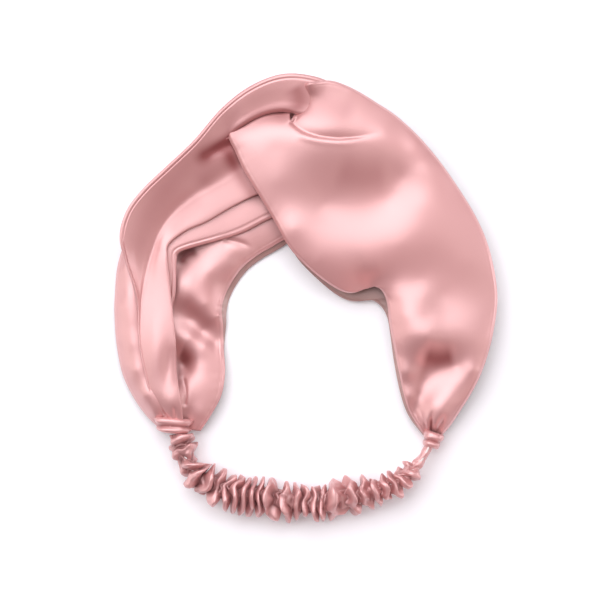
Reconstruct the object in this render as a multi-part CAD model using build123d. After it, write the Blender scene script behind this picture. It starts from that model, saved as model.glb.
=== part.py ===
"""Knotted satin headband, lying flat: two satin ribbons hooked through each other at the front,
each folded back on itself into an upper and a lower arm, and a ruched elastic that joins their ends.

Row frame in millimetres: +Z up from the table, +Y towards the knot, origin on the table under
the middle of the overall box. Every ribbon is a flat tube, so it has an outer ply and a lining ply.
"""

import os
from itertools import pairwise
from math import ceil, cos, radians, sin

from build123d import *

# ---- driving dimensions ----
loop_width = 182.0  # overall, across the two ribbons
loop_length = 208.0  # overall, from the knot's edge to the back of the elastic casing

ply_thickness = 1.1  # one satin ply with its loft
thread_diameter = 0.4  # sewing thread of the seams and bar tacks
thread_clearance = 0.1  # each side of a thread that lies between two plies

knot_x, knot_y = -6.0, 80.0  # the point that the two ribbons turn about
bight_core_radius = 6.0  # the right ribbon bunched where it passes through the left one
bight_clearance = 0.5  # play of the left ribbon's loop round that bunch
lining_bight_wall = 5.5  # the left ribbon's lining where it turns back
outer_bight_wall = 5.8  # the left ribbon's outer ply where it turns back

right_top_level = 19.6  # underside of the right ribbon's upper arm at the knot
left_top_level = 10.2  # underside of the left ribbon's upper arm at the knot
left_bottom_level = 4.4  # underside of the left ribbon's lower arm at the knot
left_crest_level = 12.0  # underside of the left ribbon's upper arm at its middle

neck_width = 12.0  # a ribbon's gathered end
neck_insert = 5.0  # how deep that end goes into its tab
neck_reach = 9.0  # how far the straight part of the gathered end shows above its tab
arm_gap = 0.4  # between the two arms where they lie on each other

elastic_width = 6.0  # stands on edge
elastic_thickness = 1.0
elastic_insert = 4.0  # how deep it goes into each tab
elastic_clearance = 0.2  # all round it in the casing and the tabs
casing_width = 16.0  # over the gathers, across
casing_height = 15.6  # over the gathers, up

tab_wall = 1.2
tab_bulkhead = 1.2  # satin between the ribbon's end and the elastic's end
tab_clearance = 0.2  # round the gathered end

seam_inset = 2.2  # of a seam from the ribbon's edge
seam_stitch = 4.0  # length of one modelled stitch
seam_pitch = 8.0  # from one modelled stitch to the next
tack_count = 5  # stitches in each bar tack
tack_pitch = 2.0  # across a ribbon's gathered end

# ---- values that follow from them ----
NOMINAL_WIDTH, NOMINAL_LENGTH = 182.0, 208.0  # the size that the outlines below were drawn at
ply_gap = thread_diameter + 2 * thread_clearance
arm_thickness = 2 * ply_thickness + ply_gap
neck_floor = tab_wall + tab_clearance  # underside of a ribbon's lower arm in its tab
neck_ceiling = neck_floor + arm_thickness + arm_gap  # underside of its upper arm there
casing_middle = casing_height / 2
tab_length = neck_insert + tab_bulkhead + elastic_insert
tab_height = max(
    neck_ceiling + arm_thickness + tab_clearance,
    casing_middle + elastic_width / 2 + elastic_clearance,
) + tab_wall
tab_width = neck_width + 2 * (tab_clearance + tab_wall)
bight_hole_radius = bight_core_radius + bight_clearance
lining_bight_radius = bight_hole_radius + lining_bight_wall
outer_bight_radius = lining_bight_radius + outer_bight_wall
tall = 3 * (right_top_level + arm_thickness)  # taller than anything here
wide = 2 * (loop_width + loop_length)


def at(x, y):
    """A point drawn at the nominal size, moved to where the driving size puts it."""
    return Vector(x * loop_width / NOMINAL_WIDTH, y * loop_length / NOMINAL_LENGTH)


def along(*points):
    """One smooth edge through points drawn at the nominal size."""
    placed = [at(*p) for p in points]
    return Line(*placed) if len(placed) == 2 else Spline(*placed)


knot = at(knot_x, knot_y)

# ---- the elastic's line, from the left tab's mouth to the right tab's ----
left_end, right_end = at(-59.8, -67.5), at(58.6, -70.5)
casing_line = Spline(
    left_end, at(-55.4, -79), at(-47.5, -87), at(-33, -93.2), at(-3, -96.2),
    at(30, -92.3), at(44.5, -86.6), at(54.5, -78.8), right_end,
)
left_way = (casing_line % 0).normalized()  # out of the left tab, along the elastic
right_way = (casing_line % 1).normalized() * -1  # out of the right tab


def placed_box(end, heading, start, stop, width, low, high):
    """A box along a tab's axis: start and stop are distances from the tab's mouth towards the ribbon."""
    middle = end - heading * ((start + stop) / 2)
    turn = heading.get_angle(Vector(1, 0)) * (1 if heading.Y >= 0 else -1)
    place = Location((middle.X, middle.Y, (low + high) / 2), (0, 0, turn))
    return place * Box(stop - start, width, high - low)


def neck(end, heading):
    """The straight gathered end of a ribbon, as a prism that the slabs below cut to each ply."""
    start = elastic_insert + tab_bulkhead
    return placed_box(
        end, heading, start, start + neck_insert + neck_reach, neck_width, -tall, tall
    )


def tab_room(end, heading):
    """The room that a tab takes, with some clearance, as a prism of any height."""
    width = tab_width + 2 * arm_gap
    return placed_box(end, heading, 0, tab_length + arm_gap, width, -tall, tall)


# ---- plan outlines of the arms, seen from above ----
def right_upper_plan():
    outer = along(
        (64, -60), (75, -50), (83.5, -34), (88.5, -15), (90.6, 0), (88.5, 17), (82, 35),
        (72, 52), (58.5, 70), (44, 84), (30, 93), (13, 101.5),
    )
    top = along((13, 101.5), (5, 102.2), (-1, 100.5))
    lobe = along((-1, 100.5), (1.5, 93), (-2, 87))
    tuck = along((-2, 87), (-14, 87.5), (-25, 83), (-35, 75.5))
    inner = along(
        (-35, 75.5), (-33.5, 69), (-29, 60), (-21, 47), (-8, 24), (1.5, 14.5), (11, 6.5),
        (21, 0), (30, 3), (36, -1), (40, -13), (43, -29), (47, -46), (53, -57),
    )
    return make_face([outer, top, lobe, tuck, inner, along((53, -57), (64, -60))])


def right_lower_plan():
    outer = along(
        (63, -60), (72, -50), (79, -34), (84, -12), (84, 12), (77, 34), (64, 54), (48, 70),
        (28, 84), (8, 92),
    )
    top = along((8, 92), (-6, 92), (-15, 84))
    inner = along(
        (-15, 84), (-18, 66), (-14, 44), (-8, 26), (0, 15), (9, 5), (19, -3), (28, -2),
        (34, -6), (38, -16), (41, -30), (45, -46), (53, -57),
    )
    return make_face([outer, top, inner, along((53, -57), (63, -60))])


def left_upper_plan():
    outer = along(
        (-68, -53), (-74.5, -45), (-78, -33), (-79.5, -16), (-84, 10), (-88, 28), (-83, 43),
        (-74, 55), (-65, 64), (-55, 74.5), (-45, 86), (-31.5, 96), (-20, 102), (-8, 104),
    )
    turn = along((-8, 104), (4, 101), (10.5, 92), (11, 80), (6, 68), (-4, 60), (-22, 46))
    inner = along((-22, 46), (-42, 39), (-56, 31), (-63.5, 18), (-64, -5), (-62, -29), (-60, -50))
    return make_face([outer, turn, inner, along((-60, -50), (-68, -53))])


def left_lower_plan():
    outer = along(
        (-67, -56), (-77, -47), (-87, -33), (-90.5, -17), (-91, 0), (-90, 17), (-84, 33),
        (-70, 48), (-52, 62), (-34, 76), (-18, 90),
    )
    turn = along((-18, 90), (-4, 96), (8, 90), (12, 78), (14, 62), (13, 46), (4, 35.5))
    inner = along(
        (4, 35.5), (-8, 30), (-16.5, 24.5), (-24, 20), (-32, 15), (-37, 5), (-40, -6),
        (-39.5, -18), (-38.5, -32), (-42, -45), (-50.5, -61),
    )
    return make_face([outer, turn, inner, along((-50.5, -61), (-67, -56))])


# ---- heights of the arms: flat stretches joined by smooth ramps, going from the knot to the tabs ----
y_far, y_near = 2 * loop_length, -2 * loop_length
right_upper_rise = [
    (y_far, right_top_level), (at(0, 35).Y, right_top_level),
    (at(0, -57).Y, neck_ceiling), (y_near, neck_ceiling),
]
right_lower_rise = [
    (y_far, 0.0), (at(0, -42).Y, 0.0), (at(0, -57).Y, neck_floor), (y_near, neck_floor),
]
left_upper_rise = [
    (y_far, left_top_level), (at(0, 24).Y, left_top_level), (at(0, -4).Y, left_crest_level),
    (at(0, -53).Y, neck_ceiling), (y_near, neck_ceiling),
]
left_lower_rise = [
    (y_far, left_bottom_level), (at(0, 27).Y, left_bottom_level), (at(0, 0).Y, 0.0),
    (at(0, -38).Y, 0.0), (at(0, -53).Y, neck_floor), (y_near, neck_floor),
]


def height(rise, y):
    """Height of an arm's underside at y."""
    for (y0, z0), (y1, z1) in pairwise(rise):
        if y1 <= y <= y0:
            t = (y0 - y) / (y0 - y1)
            return z0 + (z1 - z0) * t * t * (3 - 2 * t)
    raise ValueError("y is outside the rise")


def side_edges(rise, lift):
    """The rise as edges in the plane x = -wide, lifted by lift."""
    edges = []
    for (y0, z0), (y1, z1) in pairwise(rise):
        start, stop = Vector(-wide, y0, z0 + lift), Vector(-wide, y1, z1 + lift)
        if z0 == z1:
            edges.append(Line(start, stop))
        else:
            third = Vector(0, (y1 - y0) / 3, 0)
            edges.append(Bezier(start, start + third, stop - third, stop))
    return edges


def layer(rise, lift, thickness):
    """A sheet of the given thickness that follows the rise all the way across."""
    below, above = side_edges(rise, lift), side_edges(rise, lift + thickness)
    ends = [Line(below[0] @ 0, above[0] @ 0), Line(below[-1] @ 1, above[-1] @ 1)]
    return extrude(make_face([*below, *above, *ends]), wide * 2, dir=(1, 0, 0))


def ply(plan, end_neck, beside_tab, rise, upper):
    """One ply of an arm: its outline and its gathered end, cut from the layer it lies in.

    The outline keeps out of the room that the tab takes; only the gathered end goes in there.
    """
    lift = ply_thickness + ply_gap if upper else 0.0
    sheet = layer(rise, lift, ply_thickness)
    blade = extrude(plan, tall, dir=(0, 0, 1), both=True) - beside_tab
    return (blade & sheet) + (end_neck & sheet)


def column(radius, low, high):
    """An upright round bar at the knot."""
    return Location((knot.X, knot.Y, (low + high) / 2)) * Cylinder(radius, high - low)


def half_space(side):
    """Everything left (-1) or right (+1) of the knot."""
    return Location((knot.X + side * wide / 2, knot.Y, 0)) * Box(wide, wide, 2 * tall)


def seam(outline_edges, rise):
    """Stitches between the two plies of an arm, just inside its long edges."""
    stitches = []
    for edge, side in outline_edges:
        count = int((edge.length - 2 * seam_pitch) // seam_pitch)
        for i in range(count):
            first = (i + 1) * seam_pitch / edge.length
            last = first + seam_stitch / edge.length
            ends = []
            for share in (first, last):
                heading = edge % share
                inward = Vector(-heading.Y, heading.X) * side
                spot = (edge @ share) + inward * seam_inset
                level = height(rise, spot.Y) + ply_thickness + ply_gap / 2
                ends.append(Vector(spot.X, spot.Y, level))
            stitches.append(thread(*ends))
    return stitches


def thread(start, stop):
    """One straight length of thread."""
    span = stop - start
    return extrude(Plane(start, z_dir=span) * Circle(thread_diameter / 2), span.length)


def long_edges(plan):
    """A plan's two longest edges, each with the side of it that the ribbon is on."""
    found = []
    for edge in plan.edges().sort_by(Edge.length)[-2:]:
        heading = edge % 0.5
        inward = Vector(-heading.Y, heading.X)
        probe = (edge @ 0.5) + inward * seam_inset
        found.append((edge, 1 if plan.is_inside(probe) else -1))
    return found


# ---- the two ribbons ----
def right_ribbon():
    end_neck, room = neck(right_end, right_way), tab_room(right_end, right_way)
    upper, lower = right_upper_plan(), right_lower_plan()
    top = right_top_level + arm_thickness
    turned = column(bight_core_radius, 0, top)
    outer_turn = turned & half_space(-1)
    lining_turn = column(bight_core_radius, ply_thickness + ply_gap, top - ply_thickness - ply_gap)
    outer = (
        ply(upper, end_neck, room, right_upper_rise, True)
        + ply(lower, end_neck, room, right_lower_rise, False)
        + outer_turn
    )
    lining = (
        ply(upper, end_neck, room, right_upper_rise, False)
        + ply(lower, end_neck, room, right_lower_rise, True)
        + (lining_turn & half_space(1))
    ) - outer_turn
    stitches = seam(long_edges(upper), right_upper_rise) + seam(long_edges(lower), right_lower_rise)
    return outer, lining, clear_of_turn(stitches, bight_core_radius)


def left_ribbon():
    end_neck, room = neck(left_end, left_way), tab_room(left_end, left_way)
    upper, lower = left_upper_plan(), left_lower_plan()
    low, high = left_bottom_level, left_top_level + arm_thickness
    hole = column(bight_hole_radius, -tall, tall)
    inside = column(lining_bight_radius, -tall, tall)
    turned = (column(outer_bight_radius, low, high) - inside) & half_space(1)
    inner_low, inner_high = low + ply_thickness + ply_gap, high - ply_thickness - ply_gap
    lining_turn = column(lining_bight_radius, inner_low, inner_high) & half_space(1)
    outer = (
        ply(upper, end_neck, room, left_upper_rise, True)
        + ply(lower, end_neck, room, left_lower_rise, False)
        + turned
    ) - hole
    lining = (
        ply(upper, end_neck, room, left_upper_rise, False)
        + ply(lower, end_neck, room, left_lower_rise, True)
        - (half_space(1) - inside)
        + lining_turn
    ) - hole
    stitches = seam(long_edges(upper), left_upper_rise) + seam(long_edges(lower), left_lower_rise)
    return outer, lining, clear_of_turn(stitches, outer_bight_radius)


def clear_of_turn(stitches, radius):
    """Leaves out the stitches that would run into the bunched turn at the knot."""
    reach = radius + seam_pitch
    spots = [s.center() for s in stitches]
    return [
        s for s, c in zip(stitches, spots) if (Vector(c.X, c.Y) - knot).length > reach
    ]


# ---- the elastic and its casing ----
def swept(section):
    """A section swept along the elastic's line, from the left tab's mouth to the right tab's."""
    return sweep(section, path=Wire([casing_line.edge()]))


def mouth_plane():
    """The plane across the casing's start, at the height of its centre line: x across, y up."""
    start = casing_line @ 0
    return Plane(
        (start.X, start.Y, casing_middle),
        x_dir=left_way.cross(Vector(0, 0, 1)),
        z_dir=left_way,
    )


def casing():
    outside = mouth_plane() * Ellipse(casing_width / 2, casing_height / 2)
    channel = mouth_plane() * Rectangle(
        elastic_thickness + 2 * elastic_clearance, elastic_width + 2 * elastic_clearance
    )
    return swept(outside) - swept(channel)


def elastic_end(end, heading, clearance=0.0):
    """The end of the elastic inside a tab, or the slot for it."""
    width = elastic_thickness + 2 * clearance
    low = casing_middle - elastic_width / 2 - clearance
    high = casing_middle + elastic_width / 2 + clearance
    return placed_box(end, heading, 0, elastic_insert, width, low, high)


def elastic():
    strip = swept(mouth_plane() * Rectangle(elastic_thickness, elastic_width))
    return strip + elastic_end(left_end, left_way) + elastic_end(right_end, right_way)


def casing_seam():
    """The seam that closes the casing, as stitches beside the elastic on its outer side."""
    line = casing_line.edge()
    offset = elastic_thickness / 2 + elastic_clearance + thread_diameter
    count = int(line.length // seam_pitch) - 1
    stitches = []
    for i in range(count):
        first = (i + 0.7) * seam_pitch / line.length
        ends = []
        for share in (first, first + seam_stitch / line.length):
            heading = line % share
            spot = (line @ share) + Vector(heading.Y, -heading.X) * offset
            ends.append(Vector(spot.X, spot.Y, casing_middle))
        stitches.append(thread(*ends))
    return stitches


# ---- the tabs and their bar tacks ----
def tack(end, heading, distance, low, high, pitch):
    """A row of upright stitches across a tab, at a distance from its mouth."""
    middle = end - heading * distance
    across = Vector(-heading.Y, heading.X)
    row = []
    for i in range(tack_count):
        spot = middle + across * (i - (tack_count - 1) / 2) * pitch
        row.append(thread(Vector(spot.X, spot.Y, low), Vector(spot.X, spot.Y, high)))
    return row


def tab(end, heading):
    """A folded satin wrap: the ribbon's gathered end goes in one side and the elastic in the other."""
    block = placed_box(end, heading, 0, tab_length, tab_width, 0, tab_height)
    start = elastic_insert + tab_bulkhead
    pocket = placed_box(
        end, heading, start, start + 2 * neck_insert, neck_width + 2 * tab_clearance,
        neck_floor - tab_clearance, neck_ceiling + arm_thickness + tab_clearance,
    )
    return block - pocket - elastic_end(end, heading, elastic_clearance)


def gather_tack(end, heading):
    distance = elastic_insert + tab_bulkhead + neck_insert / 2
    return tack(end, heading, distance, 0, tab_height, tack_pitch)


def elastic_tack(end, heading):
    """Crosswise stitches that hold the elastic's end: they run level, through the tab's two sides."""
    across = Vector(-heading.Y, heading.X)
    middle = end - heading * (elastic_insert / 2)
    row = []
    for i in range(tack_count):
        level = casing_middle + (i - (tack_count - 1) / 2) * (elastic_width / tack_count)
        ends = [middle + across * (tab_width / 2) * side for side in (-1, 1)]
        row.append(thread(*[Vector(p.X, p.Y, level) for p in ends]))
    return row


def pierced(solid, *rows):
    """A piece with its own hole for each thread that passes through it."""
    for row in rows:
        for stitch in row:
            solid = solid - stitch
    return solid


def solids_of(piece):
    """The solids of a piece: one solid, or a row of stitches."""
    parts = piece if isinstance(piece, list) else [piece]
    return [solid for part in parts for solid in part.solids()]


def build():
    """Every piece by name."""
    strap = elastic()
    sides = {
        "right": (right_end, right_way, right_ribbon()),
        "left": (left_end, left_way, left_ribbon()),
    }
    pieces = {}
    for side, (end, heading, (outer, lining, seams)) in sides.items():
        gather, hold = gather_tack(end, heading), elastic_tack(end, heading)
        pieces[f"{side}_ribbon_outer_ply"] = pierced(outer, gather)
        pieces[f"{side}_ribbon_lining_ply"] = pierced(lining, gather)
        pieces[f"{side}_ribbon_edge_seams"] = seams
        pieces[f"{side}_end_tab"] = pierced(tab(end, heading), gather, hold)
        pieces[f"{side}_gather_tack"] = gather
        pieces[f"{side}_elastic_tack"] = hold
        strap = pierced(strap, hold)
    stitches = casing_seam()
    pieces["elastic_strip"] = strap
    pieces["elastic_casing"] = pierced(casing(), stitches)
    pieces["casing_seam"] = stitches
    return {name: Compound(children=solids_of(piece)) for name, piece in pieces.items()}


def main():
    os.makedirs("parts", exist_ok=True)
    pieces = build()
    boxes = [piece.bounding_box() for piece in pieces.values()]
    low_x, high_x = min(b.min.X for b in boxes), max(b.max.X for b in boxes)
    low_y, high_y = min(b.min.Y for b in boxes), max(b.max.Y for b in boxes)
    middle = Vector((low_x + high_x) / 2, (low_y + high_y) / 2)
    for name, piece in pieces.items():
        export_step(piece.moved(Location(-middle)), f"parts/{name}.step")
    turn = knot - middle
    print(f"the ribbons turn about x {turn.X:.3f} y {turn.Y:.3f}")
    print(f"overall {high_x - low_x:.2f} by {high_y - low_y:.2f}")


main()
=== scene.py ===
import math

import bmesh
import bpy
import numpy as np
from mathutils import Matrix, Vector, noise


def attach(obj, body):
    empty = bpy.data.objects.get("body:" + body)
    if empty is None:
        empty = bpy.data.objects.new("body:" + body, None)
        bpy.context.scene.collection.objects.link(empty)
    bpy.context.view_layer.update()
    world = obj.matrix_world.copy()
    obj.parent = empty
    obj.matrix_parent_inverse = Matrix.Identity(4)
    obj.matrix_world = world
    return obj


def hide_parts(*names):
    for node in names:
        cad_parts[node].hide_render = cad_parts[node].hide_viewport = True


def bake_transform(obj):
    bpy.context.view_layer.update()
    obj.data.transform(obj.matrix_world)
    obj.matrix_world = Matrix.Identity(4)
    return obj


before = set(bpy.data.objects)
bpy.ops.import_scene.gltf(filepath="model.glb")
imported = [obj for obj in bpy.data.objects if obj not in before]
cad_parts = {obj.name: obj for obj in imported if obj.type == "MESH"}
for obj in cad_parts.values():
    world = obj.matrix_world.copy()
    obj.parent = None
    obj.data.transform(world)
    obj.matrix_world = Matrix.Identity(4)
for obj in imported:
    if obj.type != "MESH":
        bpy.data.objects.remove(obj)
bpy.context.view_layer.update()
MM = 0.001
CLEARANCE = 0.15  # between the lowest satin and the table, mm

# The edges of every ply: a hem that rolls down, and a sunk seam that puckers beside it, mm.
HEM_REACH = 3.0
SEAM_INSET = 2.1
SEAM_SPREAD = 0.35
SEAM_DEPTH = 0.22
PUCKER_PITCH = 5.3

# ---------------------------------------------------------------- curves and grids, in millimetres


def catmull(points, t):
    """Points of a smooth curve through the given points, at parameters t from 0 to len - 1."""
    p = np.asarray(points, float)
    end = len(p) - 1
    t = np.clip(np.asarray(t, float), 0, end)
    i = np.minimum(t.astype(int), end - 1)
    f = (t - i).reshape(t.shape + (1,) * (p.ndim - 1))
    before = np.where((i > 0).reshape(f.shape), p[np.maximum(i - 1, 0)], 2 * p[i] - p[i + 1])
    after = np.where((i < end - 1).reshape(f.shape), p[np.minimum(i + 2, end)], 2 * p[i + 1] - p[i])
    a, b = p[i], p[i + 1]
    cubic = 3 * (a - b) + after - before
    return a + 0.5 * f * (b - before + f * (2 * before - 5 * a + 4 * b - after + f * cubic))


def noise_at(x, y, z):
    """Smooth noise at every point of the given arrays."""
    x, y, z = np.broadcast_arrays(x, y, z)
    flat = [noise.noise(place) for place in zip(x.ravel(), y.ravel(), z.ravel())]
    return np.array(flat).reshape(x.shape)


def run_length(x, y):
    """The length of a line from its start to each of its points."""
    return np.concatenate([[0], np.cumsum(np.hypot(np.diff(x), np.diff(y)))])


def smooth(x, low, high):
    """0 below low, 1 above high, and a smooth step between."""
    s = np.clip((np.asarray(x, float) - low) / (high - low), 0, 1)
    return s * s * (3 - 2 * s)


def bell(x, y, centre, radii, turn=0.0):
    """A round hill of height 1 at centre, with radii along and across its turned axes."""
    c, s = math.cos(math.radians(turn)), math.sin(math.radians(turn))
    dx, dy = x - centre[0], y - centre[1]
    return np.exp(-(((dx * c + dy * s) / radii[0]) ** 2) - ((dy * c - dx * s) / radii[1]) ** 2)


def stroke(x, y, line, left, right, power=2.0, fade=(0.15, 0.15)):
    """A fold of height 1 along a line: left and right are its widths on the two sides of it.

    power 1 leaves a sharp crease and 2 a round one. fade is the share of the line's ends over
    which the fold comes up.
    """
    line = catmull(line, np.linspace(0, len(line) - 1, 12 * len(line)))
    steps = np.diff(line, axis=0)
    length = run_length(*line.T)
    best = np.full(x.shape, 1e9)
    side, place = np.zeros(x.shape), np.zeros(x.shape)
    for k, (a, d) in enumerate(zip(line[:-1], steps)):
        size = float(d @ d)
        f = np.clip(((x - a[0]) * d[0] + (y - a[1]) * d[1]) / size, 0, 1)
        ex, ey = x - a[0] - f * d[0], y - a[1] - f * d[1]
        away = np.hypot(ex, ey)
        near = away < best
        best = np.where(near, away, best)
        side = np.where(near, (d[0] * ey - d[1] * ex) / math.sqrt(size), side)
        place = np.where(near, length[k] + f * math.sqrt(size), place)
    width = right + (left - right) * smooth(side, -0.4, 0.4)
    share = place / length[-1]
    rise = smooth(share, 0, max(fade[0], 1e-6)) * smooth(1 - share, 0, max(fade[1], 1e-6))
    return rise * np.exp(-((best / width) ** power))


def ripple(x, y, size, seed, stretch=1.0, turn=0.0):
    """Smooth noise from about -1 to 1 with features of the given size, longer along its turn."""
    c, s = math.cos(math.radians(turn)), math.sin(math.radians(turn))
    u, v = (x * c + y * s) / (size * stretch), (y * c - x * s) / size
    return noise_at(u, v, seed * 7.31)


def edge_rows(count):
    """Shares across a ribbon, closer together near its two edges."""
    return 0.5 - 0.5 * np.cos(np.linspace(0, math.pi, count))


def finish_edges(x, y, z, curl=1.0, seed=1, hem=0.5):
    """Turns both long edges of a ply down, sinks the seam beside them and puckers it."""
    step = np.hypot(np.diff(x, axis=1), np.diff(y, axis=1))
    from_start = np.concatenate([np.zeros((len(x), 1)), np.cumsum(step, axis=1)], axis=1)
    distance = np.minimum(from_start, from_start[:, -1:] - from_start)
    along = run_length(x[:, 0], y[:, 0])[:, None]
    wander = ripple(x, y, 16.0, seed)
    pucker = np.sin(2 * math.pi * along / PUCKER_PITCH + 5.0 * wander)
    pucker = pucker * (0.5 + 0.5 * ripple(x, y, 9.0, seed + 1))
    z = z - 1.1 * curl * np.exp(-((distance / 0.8) ** 2))
    z = z - SEAM_DEPTH * hem * np.exp(-(((distance - SEAM_INSET) / SEAM_SPREAD) ** 2))
    return z + SEAM_DEPTH * hem * np.exp(-distance / HEM_REACH) * pucker


def surface(points, x, y):
    """Heights of the smoothest sheet that passes close to the given (x, y, z) points."""
    p = np.array(points, float)

    def bend(ax, ay, bx, by):
        r = (ax[:, None] - bx[None]) ** 2 + (ay[:, None] - by[None]) ** 2
        return 0.5 * r * np.log(r + 1e-9)

    n = len(p)
    slack = 2.0  # lets the sheet miss a point a little rather than kink there
    system = np.zeros((n + 3, n + 3))
    system[:n, :n] = bend(p[:, 0], p[:, 1], p[:, 0], p[:, 1]) + slack * np.eye(n)
    system[:n, n:] = np.stack([np.ones(n), p[:, 0], p[:, 1]], axis=1)
    system[n:, :n] = system[:n, n:].T
    weights = np.linalg.solve(system, np.concatenate([p[:, 2], np.zeros(3)]))
    level, slope_x, slope_y = weights[n:]
    fx, fy = x.ravel(), y.ravel()
    z = bend(fx, fy, p[:, 0], p[:, 1]) @ weights[:n] + level + slope_x * fx + slope_y * fy
    return z.reshape(x.shape)


def width_from_start(grid):
    """How far each point of a grid lies from its row's first point, along the row."""
    steps = np.linalg.norm(np.diff(grid, axis=1), axis=2)
    return np.concatenate([np.zeros((len(grid), 1)), np.cumsum(steps, axis=1)], axis=1)


def cloth(name, sheets, thickness=0.5, closed=False):
    """One object out of several sheets, given their thickness.

    A sheet is a grid of points (rows x columns x 3, in millimetres), how much of its satin's
    dull reverse shows, darkened there as painted shade, and how much painted shade each point gets
    in a fold.
    """
    vertices, faces, places, reverse_and_shade, painted_shade = [], [], [], [], []
    for grid, dull_and_shade, deep in sheets:
        rows, columns = grid.shape[:2]
        height = np.maximum(grid[..., 2:], CLEARANCE + thickness / 2)
        grid = np.concatenate([grid[..., :2], height], axis=2)
        first = len(vertices)
        vertices += [tuple(p) for p in (grid.reshape(-1, 3) * MM)]
        middle = np.linalg.norm(np.diff(grid[:, columns // 2], axis=0), axis=1)
        run = np.concatenate([[0], np.cumsum(middle)])
        wide = width_from_start(grid)
        places += [(wide[i, j] * MM, run[i] * MM) for i in range(rows) for j in range(columns)]
        # each point's share of the dull reverse, darkened as painted shade, and its painted fold
        # shade
        reverse_and_shade += list(np.broadcast_to(dull_and_shade, (rows, columns)).ravel())
        painted_shade += list(np.broadcast_to(deep, (rows, columns)).ravel())
        for i in range(rows - 1):
            for j in range(columns if closed else columns - 1):
                a, b = first + i * columns + j, first + i * columns + (j + 1) % columns
                faces.append((a, b, b + columns, a + columns))
    mesh = bpy.data.meshes.new(name)
    mesh.from_pydata(vertices, [], faces)
    layer = mesh.uv_layers.new(name="weave")
    index = np.zeros(len(mesh.loops), np.int32)
    mesh.loops.foreach_get("vertex_index", index)
    layer.data.foreach_set("uv", np.array(places, np.float32)[index].ravel())
    for key, values in (("reverse_and_shade", reverse_and_shade), ("painted_shade", painted_shade)):
        layer = mesh.attributes.new(key, "FLOAT", "POINT")
        layer.data.foreach_set("value", np.array(values, np.float32))
    weld = bmesh.new()
    weld.from_mesh(mesh)
    bmesh.ops.remove_doubles(weld, verts=weld.verts, dist=0.001 * MM)
    weld.to_mesh(mesh)
    weld.free()
    mesh.polygons.foreach_set("use_smooth", [True] * len(mesh.polygons))
    piece = bpy.data.objects.new(name, mesh)
    bpy.context.scene.collection.objects.link(piece)
    wall = piece.modifiers.new("ply", "SOLIDIFY")
    wall.thickness, wall.offset = thickness * MM, 0.0
    bpy.ops.object.select_all(action="DESELECT")
    bpy.context.view_layer.objects.active = piece
    piece.select_set(True)
    bpy.ops.object.modifier_apply(modifier=wall.name)
    return piece


# ---------------------------------------------------------------- right ribbon, arm in front

# Each row is one station from the knot to the gathered end: the inner edge, the line that the
# crease at the knot runs out along, and the outer edge. The first two lie under the left ribbon
# and only the part inside the crease has them.
RIGHT_FRONT = [
    ((-28.0, 97.0), (-6.0, 97.0), (-2.0, 101.0)),
    ((-36.5, 86.0), (-7.5, 90.0), (-1.9, 101.0)),
    ((-37.0, 77.0), (-7.3, 83.5), (-1.5, 100.9)),
    ((-33.6, 69.4), (-2.5, 79.6), (4.5, 101.8)),
    ((-29.2, 60.0), (4.0, 76.4), (12.0, 102.2)),
    ((-21.1, 46.7), (13.0, 75.2), (21.5, 98.8)),
    ((-14.9, 36.3), (24.0, 74.0), (32.5, 92.6)),
    ((-7.8, 23.9), (35.0, 69.0), (44.3, 84.6)),
    ((0.5, 15.0), (44.5, 57.0), (58.5, 70.4)),
    ((8.3, 8.5), (50.0, 41.0), (71.8, 52.4)),
    ((16.5, 3.6), (54.0, 28.0), (80.5, 38.0)),
    ((22.5, 2.9), (58.0, 17.0), (86.0, 25.0)),
    ((29.3, 5.9), (61.5, 8.0), (89.5, 10.0)),
    ((35.0, 4.6), (63.0, -2.0), (90.4, -2.0)),
    ((38.2, -1.5), (64.0, -11.0), (88.6, -14.5)),
    ((39.6, -12.6), (64.0, -21.0), (86.3, -24.5)),
    ((42.4, -27.0), (63.0, -32.0), (83.0, -34.5)),
    ((45.0, -40.0), (61.8, -43.0), (78.5, -44.0)),
    ((48.2, -52.0), (60.8, -53.0), (72.5, -54.0)),
    ((53.0, -60.5), (60.2, -60.5), (67.5, -61.5)),
    ((56.8, -66.0), (59.8, -66.0), (63.0, -66.6)),
]
CREASE = [(-7.3, 83.5), (-3.0, 79.4), (3.0, 76.9), (10, 75.4), (19, 75.2), (29, 76.6), (38, 79)]
# A soft roll of satin that runs along under the crease.
CREASE_ROLL = [(-5, 77.4), (1, 75), (10, 73.6), (20, 73.4), (29, 74.6)]
# The pleats that run into the gathers, and how deep each one is.
RIGHT_PLEATS = [
    ([(59.4, -52), (59.2, -59), (59.8, -66)], 2.4),
    ([(53.6, -51), (56.2, -59), (58.4, -66)], 1.4),
    ([(66.0, -54), (63.4, -60), (61.4, -66)], 1.4),
    ([(49.8, -49), (53.2, -57), (57.0, -65)], 0.8),
]
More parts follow.
